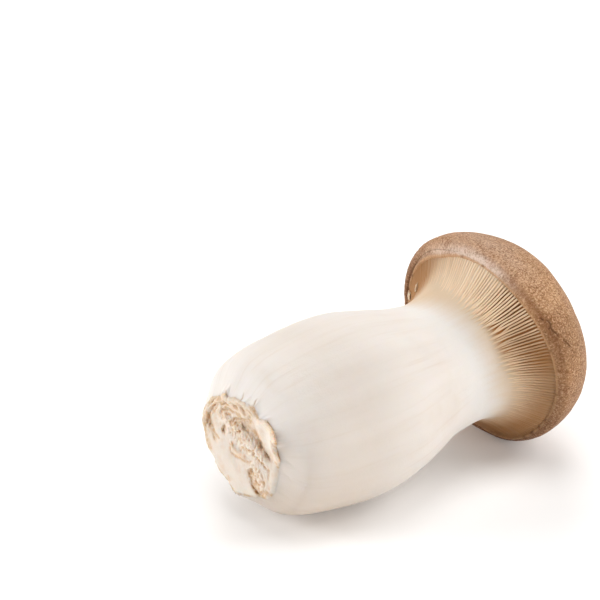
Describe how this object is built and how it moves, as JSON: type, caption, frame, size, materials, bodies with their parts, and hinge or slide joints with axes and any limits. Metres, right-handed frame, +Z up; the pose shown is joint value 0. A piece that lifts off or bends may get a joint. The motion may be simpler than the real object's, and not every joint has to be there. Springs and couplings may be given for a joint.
{
  "type": "king oyster mushroom",
  "caption": "A whole king oyster mushroom lying on its side: a thick pale stem with a torn cut end, and gills that run down the neck from a rounded tan cap.",
  "frame": {"origin": "the middle of the bottom of its box, on the surface that the mushroom lies on", "axes": "+X along the stem from the cut end to the cap, +Z up from the surface, +Y across"},
  "size_m": [0.1062, 0.0654, 0.0615],
  "materials": {
    "flesh": "satin",
    "gills": "matte",
    "cap_skin": "matte",
    "cut_end": "matte"
  },
  "bodies": {
    "root": {"mushroom": "flesh"}
  },
  "joints": []
}
